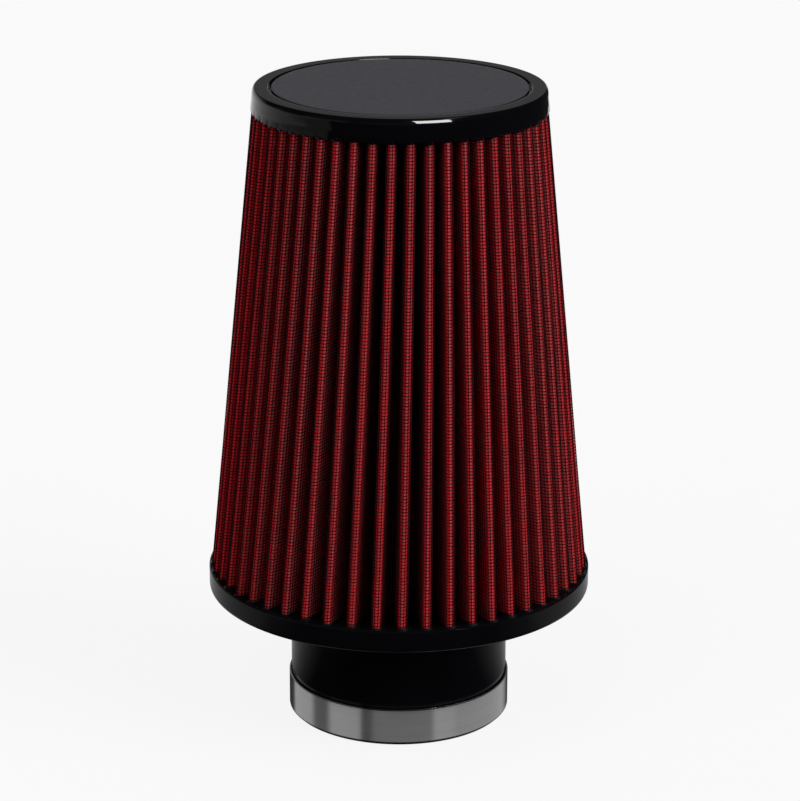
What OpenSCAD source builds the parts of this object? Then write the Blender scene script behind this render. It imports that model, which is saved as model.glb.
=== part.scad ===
// Cone air filter: a pleated pack of oiled gauze between two wire screens, moulded into a top cap and
// a base cap whose neck clamps onto an intake pipe with a worm-drive hose clamp.
// The neck's open end stands at z = 0 and the filter's axis is Z. The clamp's screw is at the back, on +Y.

/* [Body] */
// Diameter of the base cap
base_d = 150; // [144:1:170]
// Diameter of the top cap at its lower edge
top_d = 113.2; // [108:0.2:124]
// Height of the body, from the base cap's underside to the top face
body_h = 200.3; // [160:0.1:240]

/* [Neck] */
// Inside diameter of the neck, which takes the intake pipe
bore_d = 76; // [66:1:82]
// Wall of the neck
neck_wall = 4.8; // [3:0.1:7]
// Length of the neck below the base cap
neck_h = 51.8; // [30:0.1:80]
// Chamfer at the inner edge of the neck's open end
mouth_chamfer = 1; // [0.4:0.1:2]
// Rounding between the neck and the base cap's underside
neck_fillet = 1.6; // [0.5:0.1:4]
// Radius of the rounded inlet from the filter's inside into the neck
inlet_round = 8; // [3:0.5:8]

/* [Base cap] */
// Thickness of the base cap's flange
base_cap_h = 8.8; // [7:0.1:14]
// Rubber left under the lower ends of the pleats
base_floor = 3.2; // [2:0.1:5]
// Rubber outside the pleat tips at the flange's upper face
base_lip = 1; // [0.9:0.1:2]
// Rounding of the flange's outer edges
base_round = 1.6; // [0.4:0.1:2.5]

/* [Top cap] */
// Height of the top cap
top_cap_h = 8.8; // [7.5:0.1:14]
// Rubber left over the upper ends of the pleats
top_floor = 4.6; // [3.6:0.1:6]
// Rubber outside the pleat tips at the cap's lower edge
top_lip = 0.4; // [0.4:0.1:2]
// How far the side wall draws in on its way up
top_draft = 0.5; // [0:0.1:1]
// Rounding of the rim's outer edge
top_round = 1.1; // [0.4:0.1:2]
// Depth of the shallow dish in the cap's underside
dish_depth = 2.2; // [0.5:0.1:3]
// Rubber between the dish and the inner folds of the pleats
dish_margin = 4; // [2:0.5:8]

/* [Top plate] */
// Width of the cap's flat rim round the plate and its groove
rim_w = 6.2; // [3:0.1:16]
// Thickness of the plate
plate_t = 2; // [1:0.1:2.4]
// Bevel round the plate's upper edge
plate_bevel = 0.6; // [0.2:0.1:0.8]
// Open groove between the plate and the rim
groove_w = 1.2; // [0.4:0.1:2]
// Depth of the groove
groove_depth = 1.5; // [0.5:0.1:1.9]

/* [Pleats] */
// Number of pleats
pleats = 51; // [40:1:51]
// Depth of a pleat, from its outer tip to its inner fold
pleat_depth = 19; // [14:0.5:19]
// How far the pleats lean round the axis on their way up, in degrees
pleat_lean = 4.4; // [0:0.2:6]
// Angle of the front pleat from straight ahead at half height, in degrees
front_pleat = 1.7; // [0:0.1:7]
// How far hand folding leaves the pleats from even spacing, in degrees
stray = 0.5; // [0:0.1:0.6]
// Where the pleats stray furthest, in degrees round from the front pleat
stray_at = 10; // [0:1:72]
// How much further their lower ends are swept round, in degrees
sweep = 1.3; // [0:0.1:1.5]
// Where they are swept furthest, in degrees round from the front pleat
sweep_at = 22; // [0:1:180]
// Inside radius of the tightest fold
fold_r = 0.2; // [0.1:0.05:0.4]

/* [Layers] */
// Thickness of a wire screen
screen_t = 0.35; // [0.2:0.05:0.4]
// Thickness of one ply of cotton gauze
ply_t = 0.22; // [0.12:0.02:0.26]
// Gap between neighbouring layers
layer_gap = 0.03; // [0.02:0.01:0.05]
// Least gap between the pack and the sockets moulded round its ends
socket_gap = 0.12; // [0.1:0.01:0.2]

/* [Clamp band] */
// Width of the band
band_w = 14.3; // [9:0.1:16]
// Thickness of the band
band_t = 0.8; // [0.5:0.1:1]
// Gap between the band and the neck, and between the band's own turns
band_gap = 0.1; // [0.05:0.05:0.3]
// Height of the band's lower edge above the neck's open end
band_lift = 0.8; // [0.8:0.1:20]
// Where the band's inner end lies, in degrees past the screw
inner_end = 22; // [16:1:40]
// Where the band's tail ends, in degrees past the screw
tail_end = 38; // [24:1:60]
// Arc over which the band climbs over its own inner end, in degrees
climb = 14; // [8:1:20]
// Distance between the slots' centres
slot_pitch = 3; // [2.6:0.1:3.4]
// Width of a slot
slot_w = 1.3; // [0.8:0.1:1.8]
// Length of a slot
slot_len = 8; // [5:0.5:8.5]
// Slant of the slots, in degrees
slot_slant = 7; // [0:1:10]

/* [Clamp housing] */
// Length of the housing along the screw
housing_len = 13; // [11:0.5:18]
// Thickness of the housing's sheet
housing_t = 0.8; // [0.5:0.1:0.8]
// Wall round the screw
tunnel_wall = 1.1; // [0.6:0.1:1.3]
// Thickness of the housing's end walls
end_wall = 1.2; // [0.8:0.1:2]

/* [Clamp screw] */
// Outer diameter of the worm
worm_d = 7.4; // [7:0.1:8]
// Depth of the worm's thread
thread_depth = 0.8; // [0.4:0.1:1]
// Gap between the worm and the housing or the band
worm_gap = 0.2; // [0.1:0.05:0.4]
// Diameter of the screw where it turns in the end walls
journal_d = 5; // [3.6:0.1:5.2]
// Running gap between the screw and the end walls
journal_gap = 0.06; // [0.03:0.01:0.1]
// Width across the flats of the screw's hexagon head
hex_af = 7; // [5.5:0.1:7.2]
// Height of the hexagon head
hex_h = 5; // [3:0.1:7]
// How far the washer face under the head stands out past the worm
washer_step = 0.5; // [0.4:0.05:0.5]
// Thickness of the washer face
washer_t = 1; // [0.6:0.1:1.6]
// Width of the screwdriver slot
driver_w = 1.4; // [0.8:0.1:1.8]
// Depth of the screwdriver slot
driver_depth = 1.8; // [1:0.1:2.6]

/* [Hidden] */
$fn = 96;
rubber = [0.035, 0.035, 0.04];
screen_black = [0.30, 0.02, 0.03];
cotton_red = [0.72, 0.05, 0.06];
bare_mesh = [0.62, 0.63, 0.65];
plate_grey = [0.22, 0.22, 0.23];
steel = [0.72, 0.72, 0.73];
past = 1;                  // how far a cut runs past the face it opens
arc_steps = 8;             // straight steps in a moulded rounding
screen_tip_steps = 4;      // flats round a pleat's outer tip, on the outer screen
ply_tip_steps = 2;         // the same on the layers behind it
bend_steps = 2;            // flats round a pleat's inner fold
band_steps = 168;          // flats in the whole of the band
plies = 4;

// Heights
total_h = neck_h + body_h;
base_face = neck_h + base_cap_h;
top_edge = total_h - top_cap_h;
pack_low = neck_h + base_floor;
pack_high = total_h - top_floor;

// The pack: its cone, its thickness and its folds
tip_r_low = base_d / 2 - base_lip;
tip_r_high = top_d / 2 - top_lip;
taper = (tip_r_low - tip_r_high) / (top_edge - base_face);
pack_t = 2 * screen_t + plies * ply_t + (plies + 1) * layer_gap;
loose_fold_r = fold_r + pack_t;
bend_sum = loose_fold_r + fold_r;
pleat_pitch = 360 / pleats;
stray_waves = 5;
sweep_waves = 2;
front = -90;

// The top cap's rim and the plate let into it
foot_r = top_d / 2;
wall_r = foot_r - top_draft;
groove_r = wall_r - rim_w;
plate_r = groove_r - groove_w;
seat_z = total_h - plate_t;

// The clamp
neck_r = bore_d / 2 + neck_wall;
inner_turn_r = neck_r + band_gap;
outer_turn_r = inner_turn_r + band_t + band_gap;
band_mid = band_lift + band_w / 2;
tail_face_r = outer_turn_r + band_t;
screw_y = tail_face_r + worm_gap + worm_d / 2;
tunnel_r = worm_d / 2 + worm_gap;
washer_r = worm_d / 2 + washer_step;
back = 90;

function polar(r, a) = [r * cos(a), r * sin(a)];

// A quarter round of radius r about centre c, from angle a0 to a1
function round_edge(c, r, a0, a1) = [for (i = [0:arc_steps]) c + polar(r, a0 + (a1 - a0) * i / arc_steps)];

// Radius of the pleat tips at height z
function tip_r(z) = tip_r_low - taper * (z - base_face);

// Share of the pack's height that lies below z
function rise(z) = (z - pack_low) / (pack_high - pack_low);

// Direction of pleat k's tip at height z
function tip_turn(k, z) =
    front + front_pleat + k * pleat_pitch + pleat_lean * (rise(z) - 0.5)
    + stray * cos(stray_waves * (k * pleat_pitch - stray_at))
    + sweep * (1 - rise(z)) * cos(sweep_waves * (k * pleat_pitch - sweep_at));

// Half of the angle between the tips of pleats k and k + 1 at height z
function half_gap(k, z) = (tip_turn(k + 1, z) - tip_turn(k, z)) / 2;

// Distance of each layer's inner face from the clean side of the pack: 0 is the inner screen, 5 the outer one
function layer_start(n) = n == 0 ? 0 : screen_t + layer_gap + (n - 1) * (ply_t + layer_gap);

// Arc that a face of the pack makes round a tip at radius r before it leaves for a fold that lies h degrees on
function tip_arc(r, h) =
    let (
        across = bend_centre(r) * sin(h),
        inward = bend_centre(r) * cos(h) - tip_centre(r)
    )
    atan2(across, inward) - acos(bend_sum / norm([across, inward]));

function tip_centre(r) = r - loose_fold_r;

function bend_centre(r) = r - pleat_depth + loose_fold_r;

// One face of the folded pack where its tips have radius r, at distance d from its clean side, with the turn of height z
function pleated_face(r, d, z, steps) = [
    for (k = [0:pleats - 1])
        let (
            from = -tip_arc(r, half_gap(k - 1, z)),
            to = tip_arc(r, half_gap(k, z)),
            bend = to - half_gap(k, z),
            tip_bend = fold_r + d,
            inner_bend = loose_fold_r - d
        )
        each concat(
            [
                for (i = [0:steps])
                    let (a = from + (to - from) * i / steps)
                        turned([tip_centre(r) + tip_bend * cos(a), tip_bend * sin(a)], tip_turn(k, z))
            ],
            [
                for (i = [0:bend_steps])
                    let (a = bend * (1 - 2 * i / bend_steps))
                        turned(
                            [bend_centre(r) - inner_bend * cos(a), -inner_bend * sin(a)],
                            tip_turn(k, z) + half_gap(k, z)
                        )
            ]
        )
];

function turned(p, a) = [p[0] * cos(a) - p[1] * sin(a), p[0] * sin(a) + p[1] * cos(a)];

function at_height(points, z) = [for (p = points) [p[0], p[1], z]];

// A folded sheet between two distances from the clean side, from the lower ends of the pleats to the upper ends
module pleated_sheet(from, to, steps) {
    low_out = pleated_face(tip_r(pack_low), to, pack_low, steps);
    low_in = pleated_face(tip_r(pack_low), from, pack_low, steps);
    high_out = pleated_face(tip_r(pack_high), to, pack_high, steps);
    high_in = pleated_face(tip_r(pack_high), from, pack_high, steps);
    m = len(low_out);
    faces = [
        for (i = [0:m - 1])
            let (j = (i + 1) % m)
                each [
                    [i, 2 * m + i, 2 * m + j], [i, 2 * m + j, j],
                    [m + i, m + j, 3 * m + j], [m + i, 3 * m + j, 3 * m + i],
                    [i, j, m + j, m + i],
                    [2 * m + i, 3 * m + i, 3 * m + j, 2 * m + j]
                ]
    ];
    polyhedron(
        concat(
            at_height(low_out, pack_low), at_height(low_in, pack_low),
            at_height(high_out, pack_high), at_height(high_in, pack_high)
        ),
        faces
    );
}

// The space that the pack's ends take up in a cap, between two heights, cut on by more where it is open
module pack_socket(z_low, z_high, open_low, open_high) {
    middle = (z_low + z_high) / 2;
    translate([0, 0, z_low - open_low])
        linear_extrude(height = z_high - z_low + open_low + open_high)
            difference() {
                polygon(pleated_face(tip_r(z_low), pack_t + socket_gap, middle, screen_tip_steps));
                polygon(pleated_face(tip_r(z_high), -socket_gap, middle, screen_tip_steps));
            }
}

module base_cap_profile() {
    polygon(concat(
        [[bore_d / 2 + mouth_chamfer, 0], [neck_r, 0]],
        round_edge([neck_r + neck_fillet, neck_h - neck_fillet], neck_fillet, 180, 90),
        round_edge([base_d / 2 - base_round, neck_h + base_round], base_round, -90, 0),
        round_edge([base_d / 2 - base_lip / 2, base_face - base_lip / 2], base_lip / 2, 0, 90),
        round_edge([bore_d / 2 + inlet_round, base_face - inlet_round], inlet_round, 90, 180),
        [[bore_d / 2, mouth_chamfer]]
    ));
}

module base_cap() {
    color(rubber)
        difference() {
            rotate_extrude() base_cap_profile();
            pack_socket(pack_low, base_face, 0, past);
        }
}

module top_cap_profile() {
    dish_r = tip_r(top_edge) - pleat_depth - dish_margin;
    polygon(concat(
        [[0, top_edge + dish_depth], [dish_r - dish_depth, top_edge + dish_depth], [dish_r, top_edge]],
        [[foot_r, top_edge]],
        round_edge([wall_r - top_round, total_h - top_round], top_round, 0, 90),
        [[groove_r, total_h], [groove_r, total_h - groove_depth], [plate_r, total_h - groove_depth]],
        [[plate_r, seat_z], [0, seat_z]]
    ));
}

module top_cap() {
    color(rubber)
        difference() {
            rotate_extrude() top_cap_profile();
            pack_socket(top_edge, pack_high, past, 0);
        }
}

module top_plate() {
    color(plate_grey)
        rotate_extrude()
            polygon([
                [0, seat_z], [plate_r, seat_z], [plate_r, total_h - plate_bevel],
                [plate_r - plate_bevel, total_h], [0, total_h]
            ]);
}

module outer_screen() {
    color(screen_black) pleated_sheet(layer_start(plies + 1), pack_t, screen_tip_steps);
}

module gauze_ply(n) {
    start = layer_start(plies + 1 - n);
    color(cotton_red) pleated_sheet(start, start + ply_t, ply_tip_steps);
}

module inner_screen() {
    color(bare_mesh) pleated_sheet(0, screen_t, ply_tip_steps);
}

// Inner radius of the band at angle a past the screw
function band_r(a) =
    let (s = min(1, max(0, (a - (360 - inner_end - climb)) / climb)))
    inner_turn_r + (outer_turn_r - inner_turn_r) * s * s * (3 - 2 * s);

// One side of the band seen from above, from its inner end to its tail, at height h over its inner face
function band_side(h) =
    let (turn = 360 + inner_end + tail_end)
    [
        for (i = [0:band_steps])
            let (a = -inner_end + turn * i / band_steps)
                polar(band_r(a) + h, back + a)
    ];

function reversed(list) = [for (i = [len(list) - 1:-1:0]) list[i]];

module clamp_band() {
    slot_turn = slot_pitch / outer_turn_r * 180 / PI;
    slots = floor((inner_end + tail_end) / slot_turn - 1.8);
    color(steel)
        difference() {
            translate([0, 0, band_lift])
                linear_extrude(height = band_w)
                    polygon(concat(band_side(0), reversed(band_side(band_t))));
            for (i = [0:slots - 1])
                rotate(back + tail_end - (i + 1.4) * slot_turn)
                    translate([outer_turn_r + band_t / 2, 0, band_mid])
                        rotate([slot_slant, 0, 0])
                            cube([band_t + band_gap, slot_w, slot_len], center = true);
        }
}

module along_screw(length) {
    rotate([0, 90, 0]) cylinder(d = length[0], h = length[1], center = true);
}

module clamp_housing() {
    flange_y = tail_face_r + housing_t;
    half_w = band_w / 2 + housing_t;
    tunnel_half = tunnel_r + tunnel_wall;
    color(steel)
        difference() {
            translate([-housing_len / 2, 0, 0])
                rotate([90, 0, 90])
                    linear_extrude(height = housing_len)
                        union() {
                            translate([screw_y, band_mid]) circle(r = tunnel_half);
                            translate([inner_turn_r / 2, band_mid - tunnel_half])
                                square([screw_y - inner_turn_r / 2, 2 * tunnel_half]);
                            translate([inner_turn_r / 2, band_mid - half_w])
                                square([flange_y - inner_turn_r / 2, 2 * half_w]);
                        }
            // Room for the two turns of band
            translate([0, 0, band_lift]) cylinder(r = tail_face_r, h = band_w);
            // The legs end level with the inner turn
            translate([0, 0, -past]) cylinder(r = inner_turn_r, h = band_lift + band_w + housing_t + 2 * past);
            // Tunnel for the worm, and bores for the screw in its end walls
            translate([0, screw_y, band_mid])
                along_screw([2 * tunnel_r, housing_len - 2 * end_wall]);
            translate([end_wall - housing_len / 2, screw_y - tunnel_r - worm_d / 2, band_mid - tunnel_r])
                cube([housing_len - 2 * end_wall, tunnel_r + worm_d / 2, 2 * tunnel_r]);
            translate([0, screw_y, band_mid])
                along_screw([journal_d + 2 * journal_gap, housing_len + 2 * past]);
        }
}

module clamp_screw() {
    worm_len = housing_len - 2 * end_wall - 2 * worm_gap;
    ridges = floor(worm_len / slot_pitch);
    core_r = worm_d / 2 - thread_depth;
    head_x = housing_len / 2 + worm_gap;
    color(steel)
        translate([0, screw_y, band_mid])
            difference() {
                rotate([0, 90, 0])
                    union() {
                        translate([0, 0, -worm_len / 2]) cylinder(r = core_r, h = worm_len);
                        for (i = [0:ridges - 1])
                            translate([0, 0, (i - (ridges - 1) / 2) * slot_pitch])
                                rotate_extrude()
                                    polygon([
                                        [core_r - thread_depth, -slot_pitch * 0.36], [core_r, -slot_pitch * 0.36],
                                        [worm_d / 2, -slot_pitch * 0.14], [worm_d / 2, slot_pitch * 0.14],
                                        [core_r, slot_pitch * 0.36], [core_r - thread_depth, slot_pitch * 0.36]
                                    ]);
                        translate([0, 0, -housing_len / 2 - worm_gap])
                            cylinder(d = journal_d, h = housing_len + 3 * worm_gap);
                        translate([0, 0, head_x]) cylinder(r = washer_r, h = washer_t);
                        translate([0, 0, head_x + washer_t])
                            cylinder(r = hex_af / sqrt(3), h = hex_h, $fn = 6);
                    }
                translate([head_x + washer_t + hex_h - driver_depth, -driver_w / 2, -washer_r])
                    cube([driver_depth + past, driver_w, 2 * washer_r]);
            }
}

base_cap();
top_cap();
top_plate();
outer_screen();
gauze_ply(1);  // gauze_ply_1
gauze_ply(2);  // gauze_ply_2
gauze_ply(3);  // gauze_ply_3
gauze_ply(4);  // gauze_ply_4
inner_screen();
clamp_band();
clamp_housing();
clamp_screw();
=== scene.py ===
import math

import bpy
import numpy as np
from bpy.props import FloatProperty, FloatVectorProperty, IntProperty, PointerProperty
from bpy.types import Operator, Panel, PropertyGroup
from mathutils import Matrix, Vector


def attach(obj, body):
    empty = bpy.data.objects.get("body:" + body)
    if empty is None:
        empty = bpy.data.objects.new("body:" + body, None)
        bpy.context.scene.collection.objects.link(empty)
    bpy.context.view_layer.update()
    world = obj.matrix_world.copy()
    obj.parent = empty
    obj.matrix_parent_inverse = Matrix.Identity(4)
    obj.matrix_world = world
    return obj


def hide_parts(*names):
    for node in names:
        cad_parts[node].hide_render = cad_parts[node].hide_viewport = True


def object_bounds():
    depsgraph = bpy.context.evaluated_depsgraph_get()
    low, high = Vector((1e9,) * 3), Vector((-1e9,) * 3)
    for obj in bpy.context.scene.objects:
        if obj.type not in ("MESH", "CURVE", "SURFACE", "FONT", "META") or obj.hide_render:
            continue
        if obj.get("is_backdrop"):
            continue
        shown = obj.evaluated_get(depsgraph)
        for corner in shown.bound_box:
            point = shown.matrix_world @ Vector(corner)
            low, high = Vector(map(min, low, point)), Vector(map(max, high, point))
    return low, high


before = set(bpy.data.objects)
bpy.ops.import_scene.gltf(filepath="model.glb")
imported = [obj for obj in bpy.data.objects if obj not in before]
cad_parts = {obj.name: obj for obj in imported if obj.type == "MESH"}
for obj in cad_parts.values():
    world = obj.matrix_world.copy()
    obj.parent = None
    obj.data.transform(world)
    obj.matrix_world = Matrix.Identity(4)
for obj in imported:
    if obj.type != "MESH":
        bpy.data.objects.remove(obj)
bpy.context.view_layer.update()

bl_info = {
    "name": "Cone Air Filter",
    "version": (1, 0, 0),
    "blender": (4, 5, 0),
    "location": "View3D > Sidebar > Air Filter",
    "description": "Builds a pleated clamp-on air filter: caps, wire screens, gauze plies and hose clamp",
    "category": "Add Mesh",
}

# Points closer than this are one point, and rubber stays this far off what it holds, in metres
MERGE = 1e-7
CLEARANCE = 0.00004
FRONT = -math.pi / 2
BACK = math.pi / 2
PLIES = 4
# The clamp band's two ends and its climb over its inner end, in degrees past the screw
BAND_START = -22
BAND_END = 38
BAND_CLIMB = 14
# The cards that reflections see, by direction in degrees from straight ahead, and their brightness
CARDS = (
    (-170, 0.03), (-146, 0.06), (-140, 0.62), (-106, 0.7), (-98, 0.22), (-82, 0.2), (-75, 0.66),
    (-42, 0.62), (-38, 0.14), (-30, 0.16), (-25, 0.33), (35, 0.35), (39, 0.7), (60, 0.66),
    (64, 0.58), (140, 0.66), (152, 0.3), (160, 0.05),
)


def length(name, description, default):
    """A size in metres that the sidebar shows in the scene's unit."""
    return FloatProperty(name=name, description=description, default=default, unit="LENGTH",
                         precision=5)


def colour(name, description, default):
    """A finish's colour."""
    return FloatVectorProperty(name=name, description=description, default=default,
                               subtype="COLOR", size=3, min=0, max=1)


class CapSizes(PropertyGroup):
    base_r: length("Base cap radius", "Radius of the base cap's flange", 0.075)
    bore_r: length("Bore radius", "Inside radius of the neck", 0.038)
    neck_r: length("Neck radius", "Outside radius of the neck", 0.0428)
    neck_h: length("Neck length", "Height of the flange's underside", 0.0518)
    base_face: length("Base cap face", "Height of the base cap's upper face", 0.0606)
    top_edge: length("Top cap edge", "Height of the top cap's lower edge", 0.2433)
    foot_r: length("Top cap radius", "Radius of the top cap at its lower edge", 0.0566)
    total_h: length("Height", "Height of the whole filter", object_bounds()[1].z)
    plate_r: length("Plate radius", "Radius of the plate let into the top cap", 0.0487)
    plate_t: length("Plate thickness", "Thickness of that plate", 0.002)
    groove_w: length("Groove width", "Open groove between the plate and the rim", 0.0012)
    groove_depth: length("Groove depth", "Depth of that groove", 0.0015)
    climb: length("Rubber climb", "How far the rubber has crept up the pleats", 0.0011)


class PleatSizes(PropertyGroup):
    count: IntProperty(name="Pleats", description="Number of pleats", default=51, min=3)
    depth: length("Depth", "Depth of a pleat from its tip to its inner fold", 0.019)
    low: length("Lower ends", "Height of the pleats' lower ends", 0.055)
    high: length("Upper ends", "Height of the pleats' upper ends", 0.2475)
    tip_low: length("Tip radius below", "Radius of the tips at the base cap's face", 0.074)
    tip_high: length("Tip radius above", "Radius of the tips at the top cap's edge", 0.0562)
    thickness: length("Thickness", "Thickness of screens and gauze together", 0.00173)
    fold_r: length("Fold radius", "Inside radius of the tightest fold", 0.0002)
    lean: FloatProperty(name="Lean", description="Turn of the tips on their way up",
                        default=math.radians(4.4), subtype="ANGLE")
    screen: length("Screen thickness", "Thickness of the inner screen", 0.00035)
    ply: length("Ply thickness", "Thickness of one ply of gauze", 0.00019)
    layer_gap: length("Layer gap", "Gap between two layers", 0.00002)


class WireSizes(PropertyGroup):
    hoop_r: length("Hoop wire radius", "Radius of the wires that run round the filter", 0.00017)
    riser_r: length("Riser wire radius", "Radius of the wires that run up the pleats", 0.00017)
    hoops: IntProperty(name="Hoops", description="Number of wires that run round", default=153, min=3)
    risers: IntProperty(name="Risers", description="Wires that run up each pleat", default=27, min=3)


class ClampSizes(PropertyGroup):
    width: length("Band width", "Width of the band", 0.0143)
    thickness: length("Band thickness", "Thickness of the band", 0.0008)
    lift: length("Lift", "Height of the band's lower edge", 0.0008)
    inner_r: length("Inner turn", "Inner radius of the band's first turn", 0.0429)
    outer_r: length("Outer turn", "Inner radius of the band where it lies over itself", 0.0438)
    pitch: length("Slot pitch", "Distance between the band's slots, and the worm's pitch", 0.003)
    screw_y: length("Screw distance", "Distance of the screw's axis from the filter's axis", 0.0485)
    worm_r: length("Worm radius", "Outer radius of the worm", 0.0037)
    thread: length("Thread depth", "Depth of the worm's thread", 0.0008)
    housing: length("Housing length", "Length of the housing along the screw", 0.013)


class FinishColours(PropertyGroup):
    rubber: colour("Rubber", "Moulded caps", (0.0018, 0.0018, 0.0024))
    plate: colour("Plate", "Disc in the top cap", (0.0395, 0.0385, 0.0455))
    wire: colour("Coated wire", "Outer screen", (0.028, 0.0054, 0.0067))
    cotton: colour("Cotton", "Oiled gauze", (0.72, 0.0075, 0.0137))
    bare_wire: colour("Bare wire", "Inner screen", (0.60, 0.60, 0.62))
    band: colour("Band", "Clamp band and housing", (0.36, 0.355, 0.36))
    screw: colour("Screw", "Clamp screw", (0.62, 0.60, 0.55))
    floor: colour("Floor", "Studio floor", (0.55, 0.55, 0.55))


class AirFilterSettings(PropertyGroup):
    caps: PointerProperty(type=CapSizes)
    pleats: PointerProperty(type=PleatSizes)
    wires: PointerProperty(type=WireSizes)
    clamp: PointerProperty(type=ClampSizes)
    colours: PointerProperty(type=FinishColours)


def settings():
    return bpy.context.scene.air_filter


# Working on meshes

def deselect():
    if bpy.context.object and bpy.context.object.mode != "OBJECT":
        bpy.ops.object.mode_set(mode="OBJECT")
    bpy.ops.object.select_all(action="DESELECT")


def pick(obj):
    deselect()
    obj.select_set(True)
    bpy.context.view_layer.objects.active = obj


def corners(mesh):
    co = np.empty(len(mesh.vertices) * 3)
    mesh.vertices.foreach_get("co", co)
    return co.reshape(-1, 3)


def edge_ends(mesh):
    ends = np.empty(len(mesh.edges) * 2, dtype=np.int32)
    mesh.edges.foreach_get("vertices", ends)
    return ends.reshape(-1, 2)


def place(mesh, points):
    mesh.vertices.foreach_set("co", np.ascontiguousarray(points, dtype=np.float64).reshape(-1))
    mesh.update()


def sheet(name, points, uv=None):
    """A grid laid over rows of points. uv gives each point's place on the cloth, in metres."""
    rows, columns = points.shape[:2]
    deselect()
    bpy.ops.mesh.primitive_grid_add(x_subdivisions=columns - 1, y_subdivisions=rows - 1, size=1)
    obj = bpy.context.object
    obj.name = obj.data.name = name
    mesh = obj.data
    if len(mesh.vertices) != rows * columns:
        raise RuntimeError(f"{name}: the grid has {len(mesh.vertices)} points instead of {rows * columns}")
    if uv is not None:
        corner = np.empty(len(mesh.loops), dtype=np.int32)
        mesh.loops.foreach_get("vertex_index", corner)
        flat = np.ascontiguousarray(uv.reshape(-1, 2)[corner], dtype=np.float32)
        mesh.uv_layers.active.data.foreach_set("uv", flat.reshape(-1))
    place(mesh, points.reshape(-1, 3))
    return obj


def close_seams(obj):
    """Merges the points that meet, which drops faces without area, and turns the faces outwards."""
    pick(obj)
    bpy.context.tool_settings.mesh_select_mode = (True, False, False)
    bpy.ops.object.mode_set(mode="EDIT")
    bpy.ops.mesh.select_all(action="SELECT")
    bpy.ops.mesh.remove_doubles(threshold=MERGE)
    bpy.ops.mesh.select_all(action="SELECT")
    bpy.ops.mesh.normals_make_consistent(inside=False)
    bpy.ops.object.mode_set(mode="OBJECT")


def smooth(obj, angle=None):
    pick(obj)
    if angle is None:
        bpy.ops.object.shade_smooth()
    else:
        bpy.ops.object.shade_smooth_by_angle(angle=math.radians(angle))


def fill_ends(obj):
    """Closes the open ends of a swept piece."""
    pick(obj)
    bpy.context.tool_settings.mesh_select_mode = (True, False, False)
    bpy.ops.object.mode_set(mode="EDIT")
    bpy.ops.mesh.select_all(action="DESELECT")
    bpy.ops.mesh.select_non_manifold(extend=False)
    bpy.ops.mesh.fill_holes(sides=0)
    bpy.ops.mesh.select_all(action="SELECT")
    bpy.ops.mesh.normals_make_consistent(inside=False)
    bpy.ops.object.mode_set(mode="OBJECT")


def edit_edges(obj, chosen):
    """Starts to edit a piece with only those edges selected that chosen(mesh) marks."""
    pick(obj)
    bpy.context.tool_settings.mesh_select_mode = (False, True, False)
    bpy.ops.object.mode_set(mode="EDIT")
    bpy.ops.mesh.select_all(action="DESELECT")
    bpy.ops.object.mode_set(mode="OBJECT")
    obj.data.edges.foreach_set("select", chosen(obj.data))
    bpy.ops.object.mode_set(mode="EDIT")


def drawn_to_wires(obj, drop, radius):
    """Deletes the edges that drop(mesh) marks and all faces, and draws the rest as round wire."""
    edit_edges(obj, drop)
    bpy.ops.mesh.delete(type="EDGE_FACE")
    bpy.ops.mesh.select_all(action="SELECT")
    bpy.ops.mesh.remove_doubles(threshold=MERGE)
    bpy.ops.object.mode_set(mode="OBJECT")
    bpy.ops.object.convert(target="CURVE")
    curve = bpy.context.object.data
    curve.bevel_depth = radius
    curve.bevel_resolution = 0
    curve.use_fill_caps = True
    bpy.ops.object.convert(target="MESH")
    obj = bpy.context.object
    close_seams(obj)
    smooth(obj)
    return obj


def cut(obj, tool):
    pick(obj)
    change = obj.modifiers.new("Cut", "BOOLEAN")
    change.operation = "DIFFERENCE"
    change.solver = "EXACT"
    change.object = tool
    bpy.ops.object.modifier_apply(modifier=change.name)
    bpy.data.objects.remove(tool, do_unlink=True)


def done(obj, material, instead_of, body="filter"):
    """Gives a finished piece its material and body, and hides the solid it stands for."""
    obj.data.materials.clear()
    obj.data.materials.append(material)
    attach(obj, body)
    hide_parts(*instead_of)


# The folds

def rise(z):
    p = settings().pleats
    return (z - p.low) / (p.high - p.low)


def tip_r(z):
    p, c = settings().pleats, settings().caps
    return p.tip_low - (p.tip_low - p.tip_high) / (c.top_edge - c.base_face) * (z - c.base_face)


def tip_turn(k, z):
    """Direction of pleat k's tip at height z, with the unevenness of folding by hand."""
    p = settings().pleats
    pitch = 2 * math.pi / p.count
    return (FRONT + math.radians(1.7) + k * pitch + p.lean * (rise(z) - 0.5)
            + math.radians(0.5) * np.cos(5 * (k * pitch - math.radians(10)))
            + math.radians(1.3) * (1 - rise(z)) * np.cos(2 * (k * pitch - math.radians(22))))


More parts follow.
